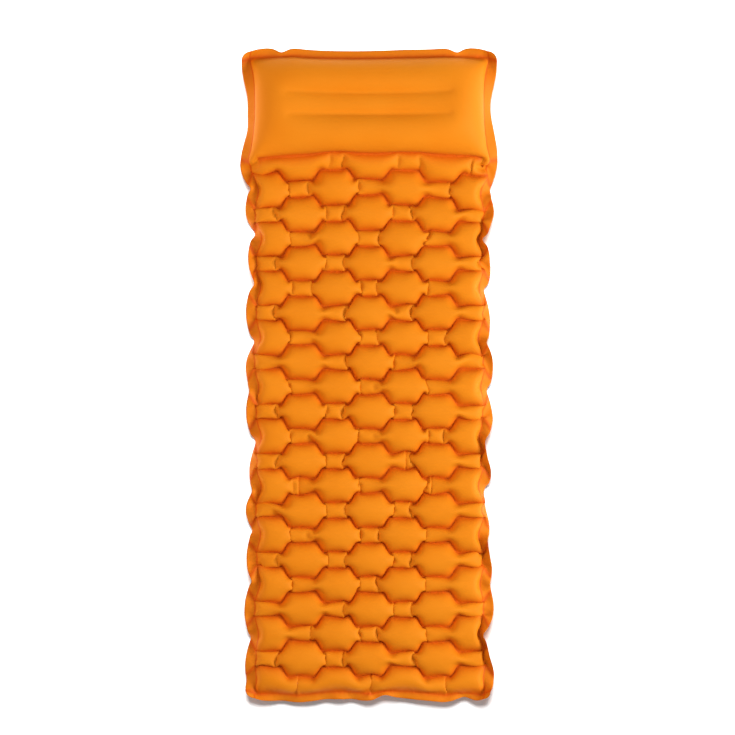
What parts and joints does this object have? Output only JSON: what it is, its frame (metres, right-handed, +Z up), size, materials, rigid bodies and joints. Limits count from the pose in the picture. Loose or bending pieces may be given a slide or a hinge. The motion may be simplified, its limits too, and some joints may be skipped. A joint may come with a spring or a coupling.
{
  "type": "inflatable sleeping pad",
  "caption": "Orange inflatable camping pad with rows of joined hexagonal cells, a raised pillow at the head and two lidded valves.",
  "frame": {"origin": "on the ground under the middle of the outline, pad inflated and lying flat, sleeping side up", "axes": "+X across the pad, +Y along it towards the pillow, +Z up"},
  "size_m": [0.724, 1.83, 0.122],
  "materials": {
    "shell_fabric": "coated nylon, slight sheen",
    "baffle_fabric": "coated, matt",
    "valve_plastic": "moulded, fine texture",
    "flap_silicone": "translucent white silicone",
    "gasket_rubber": "soft black"
  },
  "bodies": {
    "pad": {"pad_top_sheet": "shell_fabric", "pad_bottom_sheet": "shell_fabric", "pillow_front_baffle": "baffle_fabric", "pillow_rear_baffle": "baffle_fabric", "inflate_valve_base": "valve_plastic", "inflate_valve_patch": "shell_fabric", "deflate_valve_base": "valve_plastic", "deflate_valve_patch": "shell_fabric"},
    "inflate_flap": {"inflate_valve_flap": "flap_silicone"},
    "inflate_lid": {"inflate_valve_lid": "valve_plastic", "inflate_valve_gasket": "gasket_rubber"},
    "deflate_lid": {"deflate_valve_lid": "valve_plastic", "deflate_valve_gasket": "gasket_rubber"}
  },
  "joints": [
    {"name": "inflate_lid_hinge", "type": "hinge", "parent": "pad", "child": "inflate_lid", "pos_m": [0.092, 0.88129, 0.03529], "axis": [0, 0.3448, 0.9387], "range_deg": [0, 125]},
    {"name": "deflate_lid_hinge", "type": "hinge", "parent": "pad", "child": "deflate_lid", "pos_m": [0.218, 0.88129, 0.03529], "axis": [0, -0.3448, -0.9387], "range_deg": [0, 125]},
    {"name": "inflate_flap_slide", "type": "slide", "parent": "pad", "child": "inflate_flap", "axis": [0, -0.9387, 0.3448], "range_m": [0, 0.0024]}
  ]
}
